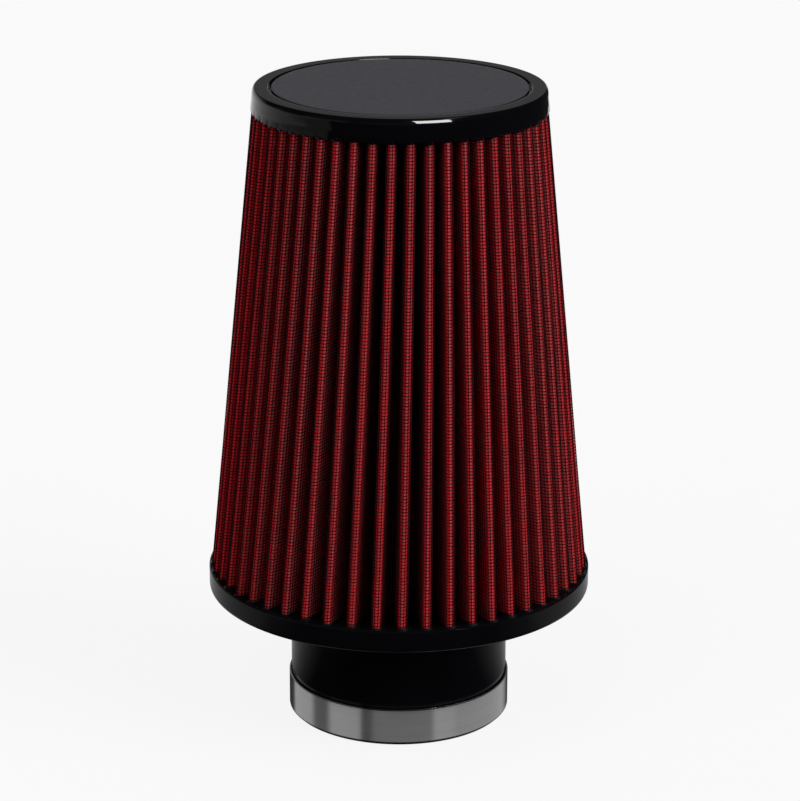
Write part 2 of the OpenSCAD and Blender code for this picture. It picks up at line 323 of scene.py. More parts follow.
def fold_lines(heights, d, tip=6, flank=1, fold=4):
    """The folded line at each height, at distance d from the clean side, closed by its first point.

    tip, flank and fold say how many points a tip, a flank and an inner fold get.
    """
    p = settings().pleats
    z = np.asarray(heights, float)[:, None]
    k = np.arange(p.count)[None, :]
    r = tip_r(z)
    loose = p.fold_r + p.thickness
    tip_c, fold_c = r - loose, r - p.depth + loose
    gap = (tip_turn(k + 1, z) - tip_turn(k, z)) / 2
    gap_before = (tip_turn(k, z) - tip_turn(k - 1, z)) / 2

    def arc(h):
        across, inward = fold_c * np.sin(h), fold_c * np.cos(h) - tip_c
        return np.arctan2(across, inward) - np.arccos((loose + p.fold_r) / np.hypot(across, inward))

    def turned(x, y, a):
        return np.stack([x * np.cos(a) - y * np.sin(a), x * np.sin(a) + y * np.cos(a)], -1)

    start, end = -arc(gap_before), arc(gap)
    bend = end - gap
    turn = tip_turn(k, z)[..., None]
    a = start[..., None] + (end - start)[..., None] * np.linspace(0, 1, tip + 1)
    out = turned(tip_c[..., None] + (p.fold_r + d) * np.cos(a), (p.fold_r + d) * np.sin(a), turn)
    a = bend[..., None] * np.linspace(1, -1, fold + 1)
    back = turned(fold_c[..., None] - (loose - d) * np.cos(a), -(loose - d) * np.sin(a),
                  turn + gap[..., None])
    t = np.linspace(0, 1, flank + 2)[1:-1][:, None]
    inward = out[:, :, -1:] * (1 - t) + back[:, :, :1] * t
    outward = back[:, :, -1:] * (1 - t) + np.roll(out[:, :, :1], -1, axis=1) * t
    line = np.concatenate([out, inward, back, outward], 2).reshape(len(z), -1, 2)
    return np.concatenate([line, line[:, :1]], 1)


def at(line, z):
    """Gives points in plan their heights."""
    line = np.asarray(line, float)
    height = np.broadcast_to(np.asarray(z, float)[..., None], line.shape[:-1] + (1,))
    return np.concatenate([line, height], -1)


def along(line):
    """Length of the way to each point of a line."""
    step = np.hypot(*np.moveaxis(np.diff(line, axis=-2), -1, 0))
    return np.concatenate([np.zeros(step.shape[:-1] + (1,)), np.cumsum(step, -1)], -1)


def pleated(name, near, far, levels=8):
    """A closed folded sheet between two distances from the clean side."""
    p = settings().pleats
    z = np.linspace(p.low, p.high, levels)
    outer, inner = fold_lines(z, far), fold_lines(z, near)[::-1]
    rows = np.concatenate([at(outer, z[:, None] + 0 * outer[..., 0]),
                           at(inner, z[::-1][:, None] + 0 * inner[..., 0])])
    middle = along(fold_lines([(p.low + p.high) / 2], (near + far) / 2))[0]
    u = np.broadcast_to(middle, rows.shape[:2])
    uv = np.stack([u, rows[..., 2]], -1)
    rows, uv = np.concatenate([rows, rows[:1]]), np.concatenate([uv, uv[:1]])
    obj = sheet(name, rows, uv)
    close_seams(obj)
    smooth(obj, 60)
    return obj


# Finishes

class Nodes:
    """The nodes of a material or a world, put together one by one."""

    def __init__(self, tree):
        self.nodes = tree.nodes
        self.links = tree.links

    def add(self, kind, inputs=None, **values):
        node = self.nodes.new(kind)
        for key, value in values.items():
            setattr(node, key, value)
        for key, value in (inputs or {}).items():
            self.set(node, key, value)
        return node

    def set(self, node, key, value):
        if isinstance(value, bpy.types.NodeSocket):
            self.links.new(value, node.inputs[key])
        else:
            node.inputs[key].default_value = value

    def coordinates(self, kind="Object"):
        return self.add("ShaderNodeTexCoord").outputs[kind]

    def axes(self, vector):
        return self.add("ShaderNodeSeparateXYZ", {"Vector": vector}).outputs

    def reach(self, vector):
        return self.add("ShaderNodeVectorMath", {0: vector}, operation="LENGTH").outputs["Value"]

    def rays(self):
        """Whether the camera sees this point itself, and whether a reflection or a clear piece does."""
        path = self.add("ShaderNodeLightPath").outputs
        return path["Is Camera Ray"], self.sum("MAXIMUM", path["Is Glossy Ray"], path["Is Transmission Ray"])

    def noise(self, vector, scale, detail=2, roughness=0.5):
        return self.add("ShaderNodeTexNoise", {"Vector": vector, "Scale": scale, "Detail": detail,
                                               "Roughness": roughness}).outputs["Fac"]

    def scaled(self, vector, scale):
        return self.add("ShaderNodeMapping", {"Vector": vector, "Scale": scale}).outputs["Vector"]

    def spread(self, value, low, high, to_low, to_high):
        return self.add("ShaderNodeMapRange", {"Value": value, "From Min": low, "From Max": high,
                                               "To Min": to_low, "To Max": to_high}).outputs["Result"]

    def mixed(self, factor, a, b):
        return self.add("ShaderNodeMix", {0: factor, 6: a, 7: b}, data_type="RGBA").outputs[2]

    def blend(self, factor, a, b):
        return self.add("ShaderNodeMix", {0: factor, 2: a, 3: b}).outputs[0]

    def sum(self, operation, a, b=0.0):
        return self.add("ShaderNodeMath", {0: a, 1: b}, operation=operation).outputs[0]

    def bump(self, height, distance, strength=1.0, normal=None):
        node = self.add("ShaderNodeBump", {"Height": height, "Distance": distance, "Strength": strength})
        if normal is not None:
            self.set(node, "Normal", normal)
        return node.outputs["Normal"]


class Finish(Nodes):
    """A material of this filter, with the gloss that its surface has all over."""

    def __init__(self, name, specular=0.5):
        self.material = bpy.data.materials.new(name)
        self.material.use_nodes = True
        super().__init__(self.material.node_tree)
        self.shader = self.nodes["Principled BSDF"]
        self.shader.inputs["Specular IOR Level"].default_value = specular

    def give(self, **values):
        for key, value in values.items():
            self.set(self.shader, key.replace("_", " "), value)


def shade(rgb, factor):
    return tuple(min(1, c * factor) for c in rgb) + (1,)


def finish_rubber():
    c = settings().colours.rubber
    f = Finish("Moulded black polyurethane", specular=0.12)
    spot = f.coordinates()
    cloud = f.noise(spot, 55, 4)
    grain = f.noise(spot, 1400, 2)
    wave = f.noise(spot, 130, 1)
    z = f.axes(spot)["Z"]
    face = settings().caps.base_face
    crept_up = f.sum("MULTIPLY", f.spread(z, face + 0.00002, face + 0.0002, 0, 0.45),
                     f.sum("LESS_THAN", z, 2 * face))
    f.give(Base_Color=f.mixed(cloud, shade(c, 0.8), shade(c, 1.5)),
           Roughness=f.sum("ADD", f.spread(f.noise(spot, 220, 3), 0.3, 0.7, 0.03, 0.07), crept_up),
           Normal=f.bump(wave, 0.00004, 0.3, f.bump(grain, 0.000001)))
    return f.material


def finish_plate():
    c = settings().colours.plate
    f = Finish("Satin grey plate", specular=0.04)
    spot = f.coordinates()
    grain = f.noise(spot, 2600, 3)
    speck = f.noise(spot, 420, 2)
    z = f.axes(spot)["Z"]
    top = settings().caps.total_h
    face = f.mixed(f.noise(spot, 60, 3), shade(c, 0.92), shade(c, 1.1))
    # Below its top, the plate's side down in the groove is painted near black: painted shade in the groove.
    f.give(Base_Color=f.mixed(f.spread(z, top - 0.0004, top - 0.0002, 0, 1), shade(c, 0.08), face),
           Roughness=f.spread(speck, 0.3, 0.7, 0.42, 0.5),
           Normal=f.bump(grain, 0.000003))
    return f.material


def painted_fold_shade(f, spot):
    """1 on the pleats' tips and 0 deep in their folds, where the colour is darkened as painted shade."""
    p = settings().pleats
    x, y, z = f.axes(spot)
    r = f.reach(f.add("ShaderNodeCombineXYZ", {"X": x, "Y": y}).outputs[0])
    tip = f.spread(z, p.low, p.high, tip_r(p.low), tip_r(p.high))
    return f.spread(f.sum("SUBTRACT", tip, r), 0.001, 0.009, 1, 0)


def finish_coated_wire():
    c = settings().colours.wire
    f = Finish("Black coated wire", specular=0.0)
    spot = f.coordinates()
    wire = f.mixed(f.noise(spot, 800, 2), shade(c, 0.6), shade(c, 1.6))
    # Deep in the folds the wire's colour is painted darker: painted shade.
    f.give(Base_Color=f.mixed(painted_fold_shade(f, spot), shade(c, 0.7), wire),
           Roughness=f.spread(f.noise(spot, 1700, 2), 0.3, 0.7, 0.18, 0.38),
           Normal=f.bump(f.noise(spot, 1500, 2), 0.00008, 0.8))
    return f.material


def threads(f, uv, pitch, deep=0.5):
    """The height of a plain weave. pitch is the threads' distance, deep how far they bend over and under."""
    x, y = (f.sum("MULTIPLY", way, math.pi / pitch) for way in f.axes(uv)[:2])
    warp = f.sum("ABSOLUTE", f.sum("SINE", x))
    weft = f.sum("ABSOLUTE", f.sum("SINE", y))
    over = f.sum("MULTIPLY", f.sum("SINE", f.sum("MULTIPLY", x, 0.5)),
                 f.sum("SINE", f.sum("MULTIPLY", y, 0.5)))
    return f.sum("MAXIMUM", f.sum("ADD", warp, f.sum("MULTIPLY", over, deep)),
                 f.sum("SUBTRACT", weft, f.sum("MULTIPLY", over, deep)))


def finish_cotton():
    c = settings().colours.cotton
    f = Finish("Oiled red cotton", specular=0.12)
    uv = f.coordinates("UV")
    spot = f.coordinates()
    weave = threads(f, uv, 0.00055)
    oil = f.noise(spot, 90, 4)
    fuzz = f.noise(spot, 3000, 2)
    base = f.mixed(f.spread(oil, 0.3, 0.7, 0, 1), shade(c, 0.78), shade(c, 1.12))
    base = f.mixed(f.spread(weave, 0.4, 1.3, 1, 0), base, shade(c, 0.35))
    # Deep in the folds the cotton's colour is painted darker: painted shade.
    base = f.mixed(painted_fold_shade(f, spot), shade(c, 0.6), base)
    f.give(Base_Color=base,
           Roughness=f.spread(oil, 0.3, 0.7, 0.5, 0.75),
           Normal=f.bump(f.sum("ADD", weave, f.sum("MULTIPLY", fuzz, 0.5)), 0.00008))
    return f.material


def finish_bare_mesh():
    c, red = settings().colours.bare_wire, settings().colours.cotton
    f = Finish("Bare woven wire over cotton")
    uv = f.coordinates("UV")
    weave = threads(f, uv, 0.0016, 0.3)
    wire = f.spread(weave, 0.86, 0.9, 0, 1)
    f.give(Base_Color=f.mixed(wire, shade(red, 0.55), shade(c, 1)),
           Metallic=wire,
           Roughness=f.spread(wire, 0, 1, 0.8, 0.34),
           Normal=f.bump(weave, 0.0003))
    return f.material


def finish_band():
    """Steel brushed along the band, painted near black along its lower edge as a painted shadow line."""
    c, lift = settings().colours.band, settings().clamp.lift
    f = Finish("Brushed stainless band")
    uv = f.coordinates("UV")
    brushed = f.noise(f.scaled(uv, (60, 9000, 1)), 1, 3, 0.6)
    streak = f.noise(f.scaled(uv, (9, 1400, 1)), 1, 2)
    cloud = f.noise(f.scaled(uv, (90, 60, 1)), 1, 3)
    # clean is 0 along the band's lower edge and 1 above it; along that edge the steel is painted near black
    # as a painted shadow line.
    clean = f.spread(f.axes(f.coordinates())["Z"], lift + 0.0004, lift + 0.0008, 0, 1)
    steel = f.mixed(streak, shade(c, 0.86), shade(c, 1.1))
    f.give(Base_Color=f.mixed(clean, shade(c, 0.04), steel),
           Metallic=1.0,
           Roughness=f.sum("ADD", f.spread(brushed, 0.2, 0.8, 0.1, 0.18),
                           f.spread(cloud, 0.3, 0.7, -0.02, 0.03)),
           Normal=f.bump(brushed, 0.000006, 0.6))
    return f.material


def finish_pressed_steel():
    c = settings().colours.band
    f = Finish("Pressed stainless housing")
    spot = f.coordinates()
    brushed = f.noise(f.scaled(spot, (70, 6000, 6000)), 1, 3)
    f.give(Base_Color=f.mixed(f.noise(spot, 120, 3), shade(c, 0.85), shade(c, 1.1)),
           Metallic=1.0,
           Roughness=f.spread(brushed, 0.2, 0.8, 0.24, 0.4),
           Normal=f.bump(brushed, 0.000006, 0.6))
    return f.material


def finish_screw():
    c = settings().colours.screw
    f = Finish("Plated steel screw")
    spot = f.coordinates()
    f.give(Base_Color=f.mixed(f.noise(spot, 160, 3), shade(c, 0.8), shade(c, 1.08)),
           Metallic=1.0,
           Roughness=f.spread(f.noise(spot, 500, 3), 0.3, 0.7, 0.24, 0.4),
           Normal=f.bump(f.noise(spot, 2500, 2), 0.000008))
    return f.material


# The caps

def circle(angles, r, z):
    r = np.broadcast_to(np.asarray(r, float), angles.shape)
    return np.stack([r * np.cos(angles), r * np.sin(angles), np.broadcast_to(z, angles.shape)], -1)


def rounding(centre, radius, start, end, steps, tall=1.0):
    """Points (r, z) of a rounded edge, with angles in degrees. tall stretches it upwards."""
    r, z = centre
    return [(r + radius * math.cos(a), z + radius * tall * math.sin(a))
            for a in np.radians(np.linspace(start, end, steps + 1))]


def unevenness(count, seed, waves):
    """A smooth wavering between about -1 and 1 on a closed ring of points."""
    rng = np.random.default_rng(seed)
    a = np.linspace(0, 2 * math.pi, count)
    wavering = sum(np.cos(w * a + rng.uniform(0, 6.28)) * rng.uniform(0.5, 1) for w in waves)
    return wavering / math.sqrt(len(waves))


def angles_of(line):
    """Angles of a ring's points, always growing."""
    a = np.unwrap(np.arctan2(line[:, 1], line[:, 0]))
    return np.maximum.accumulate(a)


def evened(a, share=0.85):
    """Angles that are spread nearly evenly over each pleat, for a round face beside a folded one."""
    count = settings().pleats.count
    ends = a[::(len(a) - 1) // count]
    even = np.interp(np.arange(len(a)), np.arange(count + 1) * ((len(a) - 1) // count), ends)
    return a * (1 - share) + even * share


def distance_to_pleats(points, z):
    """Distance in plan from each point to the folded pack."""
    p = settings().pleats
    dense = np.concatenate([fold_lines([z], p.thickness, 12, 14, 4)[0],
                            fold_lines([z], 0, 4, 14, 12)[0]])
    out = np.empty(len(points))
    for i in range(0, len(points), 128):
        gap = points[i:i + 128, None, :2] - dense[None]
        out[i:i + 128] = np.sqrt((gap ** 2).sum(-1).min(1))
    return out


def crept(rings, z, up, seed):
    """Raises rings of the moulded face near the pleats, where the rubber has crept along them."""
    c = settings().caps
    out = []
    for ring in rings:
        waver = 1 + 0.35 * unevenness(len(ring), seed, (17, 23, 31, 51, 64, 77))
        waver[-1] = waver[0]
        lift = c.climb * waver * np.exp(-distance_to_pleats(ring, z) / 0.00045)
        ring = ring.copy()
        ring[:, 2] += up * lift
        out.append(ring)
    return out


def between(a, b, shares):
    return [a * (1 - t) + b * t for t in shares]


def moulded(name, rings):
    """A closed moulding over rings that run round its section."""
    rows = np.stack(rings)
    rows[:, -1] = rows[:, 0]
    obj = sheet(name, np.concatenate([rows, rows[:1]]))
    close_seams(obj)
    smooth(obj, 40)
    return obj


class AIRFILTER_OT_base_cap(Operator):
    """Mould the base cap: its flange round the pleats' lower ends, and the neck"""
    bl_idname = "air_filter.base_cap"
    bl_label = "Base Cap"

    def execute(self, context):
        c, p = settings().caps, settings().pleats
        face, lip, soft, socket, mouth = c.base_face, 0.0005, 0.0016, 0.003, 0.008
        outer = fold_lines([face], p.thickness + CLEARANCE)[0]
        inner = fold_lines([face], -CLEARANCE)[0]
        a, b = angles_of(outer), angles_of(inner)
        profile = [(c.bore_r, 0.001)]
        profile += rounding((c.bore_r + 0.0006, 0.0004), 0.0004, 215, 270, 2)
        profile += rounding((c.neck_r - 0.0002, 0.0002), 0.0002, 270, 360, 3)
        profile += [(c.neck_r, 0.0006), (c.neck_r, c.neck_h - 0.0022)]
        profile += rounding((c.neck_r + soft, c.neck_h - soft), soft, 180, 90, 6)
        profile += [(c.neck_r + 0.0022, c.neck_h), (c.base_r - 0.0022, c.neck_h)]
        profile += rounding((c.base_r - soft, c.neck_h + soft), soft, 270, 360, 6)
        profile += [(c.base_r, c.neck_h + 0.002), (c.base_r, face - lip - 0.0004)]
        profile += rounding((c.base_r - lip, face - lip), lip, 0, 90, 4)
        rings = [circle(a, r, z) for r, z in profile]
        rim = circle(a, c.base_r - lip, face)
        rings += crept(between(rim, at(outer, face), (0.25, 0.5, 0.7, 0.85, 0.95, 1)), face, 1, 3)
        rings += [at(outer, face - socket), at(outer, p.low - 0.0001), at(inner, p.low - 0.0001),
                  at(inner, face - socket)]
        hole = circle(b, c.bore_r + mouth, face)
        rings += crept(between(at(inner, face), hole, (0, 0.05, 0.15, 0.3, 0.5, 0.8, 1)), face, 1, 5)
        funnel = rounding((c.bore_r + mouth, face - mouth), mouth, 90, 180, 8)
        rings += [circle(b, r, z) for r, z in funnel[1:]]
        obj = moulded("base_cap_moulding", rings)
        done(obj, finish_rubber(), instead_of=["base_cap"])
        return {"FINISHED"}


class AIRFILTER_OT_top_cap(Operator):
    """Mould the top cap round the pleats' upper ends, with the seat and the groove for its plate"""
    bl_idname = "air_filter.top_cap"
    bl_label = "Top Cap"

    def execute(self, context):
        c, p = settings().caps, settings().pleats
        edge, top, seat = c.top_edge, c.total_h, c.total_h - c.plate_t
        outer = fold_lines([edge], p.thickness + CLEARANCE, 6, 4)[0]
        inner = fold_lines([edge], -CLEARANCE, 6, 4)[0]
        a, b = evened(angles_of(outer)), angles_of(inner)
        groove_r, wall_r, soft = c.plate_r + c.groove_w, c.foot_r - 0.0005, 0.0003
        shoulder_w, shoulder_h = 0.0011, 0.0026
        arch_w, arch_h = 0.0026, 0.0008
        socket, dish = 0.0025, 0.0022
        profile = [(0, seat), (c.plate_r, seat), (c.plate_r, top - c.groove_depth)]
        profile += [(groove_r - 0.0002, top - c.groove_depth), (groove_r, top - c.groove_depth + 0.0002)]
        profile += rounding((groove_r + soft, top - soft), soft, 180, 90, 4)
        profile += [(groove_r + soft + 0.0002, top), (wall_r - 0.0013, top)]
        profile += rounding((wall_r - shoulder_w, top - shoulder_h), shoulder_w, 90, 0, 12,
                            tall=shoulder_h / shoulder_w)
        profile += [(wall_r + 0.0002, edge + 0.0036)]
        rings = [circle(a, r, z) for r, z in profile]
        turn = np.array([tip_turn(k, edge) for k in range(p.count + 1)])
        off = np.abs(a[:, None] - turn[None]).min(1) * c.foot_r
        arch = arch_h * np.cos(np.clip(off / arch_w, 0, 1) * math.pi / 2) ** 2 - 0.0001
        arch += 0.0001 * unevenness(len(a), 9, (19, 37, 53))
        arch[-1] = arch[0]
        rings += [circle(a, c.foot_r, edge + arch + 0.0004),
                  circle(a, c.foot_r - 0.0001, edge + arch + 0.00012),
                  circle(a, c.foot_r - 0.0004, edge + arch)]
        rim = circle(a, c.foot_r - 0.0005, edge + arch)
        low = at(outer, edge + np.minimum(arch, 0.0004))
        rings += crept(between(rim, low, (0.3, 0.55, 0.75, 0.9, 1)), edge, -1, 7)
        rings += [at(outer, edge + socket), at(outer, p.high + 0.0001), at(inner, p.high + 0.0001),
                  at(inner, edge + socket)]
        dish_r = tip_r(edge) - p.depth - 0.004
        hole = circle(b, dish_r, edge)
        rings += crept(between(at(inner, edge), hole, (0, 0.1, 0.3, 0.6, 1)), edge, -1, 11)
        rings += [circle(b, dish_r - dish, edge + dish), circle(b, 0, edge + dish)]
        obj = moulded("top_cap_moulding", rings)
        done(obj, finish_rubber(), instead_of=["top_cap"])
        return {"FINISHED"}


class AIRFILTER_OT_top_plate(Operator):
    """Turn the flat plate that lies in the top cap"""
    bl_idname = "air_filter.top_plate"
    bl_label = "Top Plate"

    def execute(self, context):
        c = settings().caps
        deselect()
        bpy.ops.mesh.primitive_cylinder_add(vertices=240, radius=c.plate_r - CLEARANCE,
                                            depth=c.plate_t,
                                            location=(0, 0, c.total_h - c.plate_t / 2))
        obj = context.object
        obj.name = obj.data.name = "top_plate_disc"
        bpy.ops.object.transform_apply(location=True, rotation=False, scale=False)
        edit_edges(obj, lambda mesh: (corners(mesh)[edge_ends(mesh), 2] > c.total_h - 1e-5).all(1))
        bpy.ops.mesh.bevel(offset=0.00035, segments=4, profile=0.5, affect="EDGES")
        bpy.ops.mesh.select_all(action="DESELECT")
        bpy.ops.object.mode_set(mode="OBJECT")
        bpy.context.tool_settings.mesh_select_mode = (False, False, True)
        faces = obj.data.polygons
        faces.foreach_set("select", [face.normal.z > 0.99 for face in faces])
        bpy.ops.object.mode_set(mode="EDIT")
        bpy.ops.mesh.inset(thickness=0.0008, depth=0)
        bpy.ops.object.mode_set(mode="OBJECT")
        smooth(obj, 40)
        done(obj, finish_plate(), instead_of=["top_plate"])
        return {"FINISHED"}


# Gauze and screens

def layer_start(n):
    """Distance of layer n from the clean side: 1 to 4 are the plies from inside out, 5 the wires."""
    p = settings().pleats
    return p.screen + p.layer_gap + (n - 1) * (p.ply + p.layer_gap)


class AIRFILTER_OT_gauze(Operator):
    """Fold the four plies of oiled cotton gauze"""
    bl_idname = "air_filter.gauze"
    bl_label = "Gauze Plies"

    def execute(self, context):
        cotton = finish_cotton()
        for ply in range(1, PLIES + 1):
            near = layer_start(PLIES + 1 - ply)
            obj = pleated(f"cotton_ply_{ply}", near, near + settings().pleats.ply)
            done(obj, cotton, instead_of=[f"gauze_ply_{ply}"])
        return {"FINISHED"}


class AIRFILTER_OT_inner_screen(Operator):
    """Fold the bare wire screen on the clean side"""
    bl_idname = "air_filter.inner_screen"
    bl_label = "Inner Screen"

    def execute(self, context):
        obj = pleated("inner_wire_screen", 0, settings().pleats.screen)
        done(obj, finish_bare_mesh(), instead_of=["inner_screen"])
        return {"FINISHED"}


class AIRFILTER_OT_outer_screen(Operator):
    """Draw the wires of the coated outer screen along the folds"""
    bl_idname = "air_filter.outer_screen"
    bl_label = "Outer Screen"

    def execute(self, context):
        p, w = settings().pleats, settings().wires
        coated = finish_coated_wire()
        near = layer_start(PLIES + 1)
        heights = np.linspace(p.low + 0.0008, p.high - 0.0008, w.hoops)
        for part, z in zip(("low", "middle", "high"), np.array_split(heights, 3)):
            line = fold_lines(z, near + w.hoop_r, 5, 0, 2)
            obj = sheet(f"screen_hoops_{part}", at(line, z[:, None] + 0 * line[..., 0]))
            obj = drawn_to_wires(obj, self.rising, w.hoop_r)
            done(obj, coated, instead_of=["outer_screen"])
        z = np.linspace(p.low, p.high, 10)
        line = fold_lines(z, near + 1.6 * w.hoop_r + w.riser_r, 12, 3, 6)
        per = (line.shape[1] - 1) // p.count
        share = (np.arange(w.risers) + 0.5) / w.risers
        risers = np.empty((len(z), p.count * w.risers, 3))
        for i in range(len(z)):
            for k in range(p.count):
                part = line[i, k * per:(k + 1) * per + 1]
                s = along(part)
                own = slice(k * w.risers, (k + 1) * w.risers)
                for axis in (0, 1):
                    risers[i, own, axis] = np.interp(share * s[-1], s, part[:, axis])
            risers[i, :, 2] = z[i]
        obj = sheet("screen_risers", risers)
        obj = drawn_to_wires(obj, self.level, w.riser_r)
        done(obj, coated, instead_of=["outer_screen"])
        return {"FINISHED"}

    @staticmethod
    def rising(mesh):
        """Marks the edges whose ends differ in height."""
        z = corners(mesh)[edge_ends(mesh), 2]
        return np.abs(z[:, 0] - z[:, 1]) > 1e-5

    @staticmethod
    def level(mesh):
        return ~AIRFILTER_OT_outer_screen.rising(mesh)


# The hose clamp

def band_r(a):
    """Inner radius of the band at angle a past the screw: it climbs over its own inner end."""
    c = settings().clamp
    s = np.clip((np.degrees(a) - (360 + BAND_START - BAND_CLIMB)) / BAND_CLIMB, 0, 1)
    return c.inner_r + (c.outer_r - c.inner_r) * s * s * (3 - 2 * s)


class AIRFILTER_OT_clamp_band(Operator):
    """Roll the clamp's band round the neck and punch the slots for its worm"""
    bl_idname = "air_filter.clamp_band"
    bl_label = "Clamp Band"

    def execute(self, context):
        c = settings().clamp
        steps, corner = 336, 0.0016
        a = np.radians(np.linspace(BAND_START, 360 + BAND_END, steps + 1))
        near_end = np.minimum(a - a[0], a[-1] - a) * c.inner_r
        past = np.clip(corner - near_end, 0, corner)
        half = c.width / 2 - corner + np.sqrt(np.clip(corner ** 2 - past ** 2, 0, None))
        soft, t, middle = 0.00028, c.thickness, c.lift + c.width / 2
        slot = (t + 0.0001, 0.0013, 0.008)
        edge = [(soft - soft * math.cos(q), soft - soft * math.sin(q))
                for q in np.radians([0, 30, 60, 90])]
        edge.append((soft + 0.0004, 0))
        section = [(e[1], -1, e[0]) for e in edge[::-1]] + [(t - e[1], -1, e[0]) for e in edge]
        section += [(t - s[0], 1, s[2]) for s in section]
        section += section[:1]
        rows = np.empty((len(a), len(section), 3))
        uv = np.empty((len(a), len(section), 2))
        for j, (h, side, inset) in enumerate(section):
            r = band_r(a) + h
            z = middle + side * (half - inset)
            rows[:, j] = np.stack([r * np.cos(a + BACK), r * np.sin(a + BACK), z], -1)
            uv[:, j] = np.stack([a * c.inner_r, z + h], -1)
        obj = sheet("clamp_band_strip", rows, uv)
        close_seams(obj)
        fill_ends(obj)
        turn = c.pitch / c.outer_r
        tools = []
        for i in range(int(math.radians(BAND_END - BAND_START) / turn - 1.8)):
            deselect()
            bpy.ops.mesh.primitive_cube_add(size=1)
            tool = bpy.context.object
            place(tool.data, corners(tool.data) * slot)
            edit_edges(tool, self.across)
            bpy.ops.mesh.bevel(offset=0.0006, segments=4, profile=0.5, affect="EDGES")
            bpy.ops.object.mode_set(mode="OBJECT")
            angle = BACK + math.radians(BAND_END) - (i + 1.4) * turn
            where = (Matrix.Rotation(angle, 4, "Z")
                     @ Matrix.Translation((c.outer_r + t / 2, 0, middle))
                     @ Matrix.Rotation(math.radians(7), 4, "X"))
            tool.data.transform(where)
            tools.append(tool)
        deselect()
        for tool in tools:
            tool.select_set(True)
        context.view_layer.objects.active = tools[0]
        bpy.ops.object.join()
        cut(obj, context.object)
        smooth(obj, 32)
        done(obj, finish_band(), instead_of=["clamp_band"])
        return {"FINISHED"}

    @staticmethod
    def across(mesh):
        """Marks the edges that run through the band."""
        x = corners(mesh)[edge_ends(mesh), 0]
        return np.abs(x[:, 0] - x[:, 1]) > 1e-6


class AIRFILTER_OT_clamp_housing(Operator):
    """Press the clamp's housing, with soft edges"""
    bl_idname = "air_filter.clamp_housing"
    bl_label = "Clamp Housing"

    def execute(self, context):
        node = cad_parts["clamp_housing"]
        obj = bpy.data.objects.new("clamp_housing_pressing", node.data.copy())
        context.collection.objects.link(obj)
        obj.data.name = obj.name
        pick(obj)
        bpy.ops.object.mode_set(mode="EDIT")
        bpy.ops.mesh.select_all(action="SELECT")
        bpy.ops.mesh.remove_doubles(threshold=1e-6)
        bpy.ops.mesh.dissolve_limited(angle_limit=math.radians(1))
        bpy.ops.object.mode_set(mode="OBJECT")
        change = obj.modifiers.new("Soft edges", "BEVEL")
        change.width = 0.00022
        change.segments = 2
        change.limit_method = "ANGLE"
        change.angle_limit = math.radians(35)
        change.use_clamp_overlap = True
        bpy.ops.object.modifier_apply(modifier=change.name)
        smooth(obj, 40)
        done(obj, finish_pressed_steel(), instead_of=["clamp_housing"])
        return {"FINISHED"}


class AIRFILTER_OT_clamp_screw(Operator):
    """Turn the clamp's worm screw, with its thread, hexagon head and driver slot"""
    bl_idname = "air_filter.clamp_screw"
    bl_label = "Clamp Screw"

    def execute(self, context):
        c = settings().clamp
        around = 72
        q = np.linspace(0, 2 * math.pi, around + 1)
        worm, head = (c.housing - 0.0024 - 0.0004) / 2, c.housing / 2 + 0.0002
        journal, washer, core = 0.0025, 0.0042, c.worm_r - c.thread
        end, slot_depth, slot_box = head + 0.006, 0.0018, 0.0028
        axis = (0, c.screw_y, c.lift + c.width / 2)
        hexagon = 0.0035 / np.cos((q + math.pi / 6) % (math.pi / 3) - math.pi / 6)
        rows = []

        def ring(x, r):
            rows.append((x + 0 * q, r + 0 * q))

        for x, r in ((-head, 0), (-head, journal - 0.0003), (-head + 0.0003, journal),
                     (-worm, journal)):
            ring(x, r)
        for x in np.linspace(-worm, worm, 86):
            phase = (x / c.pitch - q / (2 * math.pi)) % 1
            side = np.abs(phase - 0.5) * 2
            ridge = np.clip((0.72 - side) / 0.44, 0, 1)
            fade = min(1, (worm - abs(x)) / 0.0006)
            ring(x, core + (c.worm_r - core) * ridge * fade)
        for x, r in ((worm, journal), (head, journal), (head, washer - 0.0002), (head + 0.0002, washer),
                     (head + 0.0008, washer), (head + 0.001, washer - 0.0002), (head + 0.001, 0.0038)):
            ring(x, r)
        for x in np.linspace(0.001, 0.0053, 4):
            ring(head + x, np.minimum(hexagon, 0.00404))
        for t in np.linspace(0, 1, 5)[1:]:
            ring(head + 0.0053 + 0.0007 * t, np.minimum(hexagon, 0.00402 - 0.0008 * t))
        ring(end, 0.0018)
        ring(end, 0)
        points = np.array([np.stack([x, r * np.cos(q), r * np.sin(q)], -1) for x, r in rows])
        points += axis
        points[:, -1] = points[:, 0]
        obj = sheet("clamp_worm_screw", points)
        close_seams(obj)
        deselect()
        bpy.ops.mesh.primitive_cube_add(size=1)
        tool = context.object
        points = corners(tool.data) * (slot_box, 0.0014, 0.011) + axis
        points[:, 0] += end - slot_depth + slot_box / 2
        place(tool.data, points)
        cut(obj, tool)
        smooth(obj, 35)
        done(obj, finish_screw(), instead_of=["clamp_screw"], body="screw")
        return {"FINISHED"}


# The studio

def lamp(name, kind, energy, location, target=(0, 0, 0), **values):
    data = bpy.data.lights.new(name, kind)
    data.energy = energy
    for key, value in values.items():
        setattr(data, key, value)
    obj = bpy.data.objects.new(name, data)
    bpy.context.collection.objects.link(obj)
    obj.location = location
    way = Vector(location) - Vector(target)
    obj.rotation_euler = way.to_track_quat("Z", "Y").to_euler()
    return obj


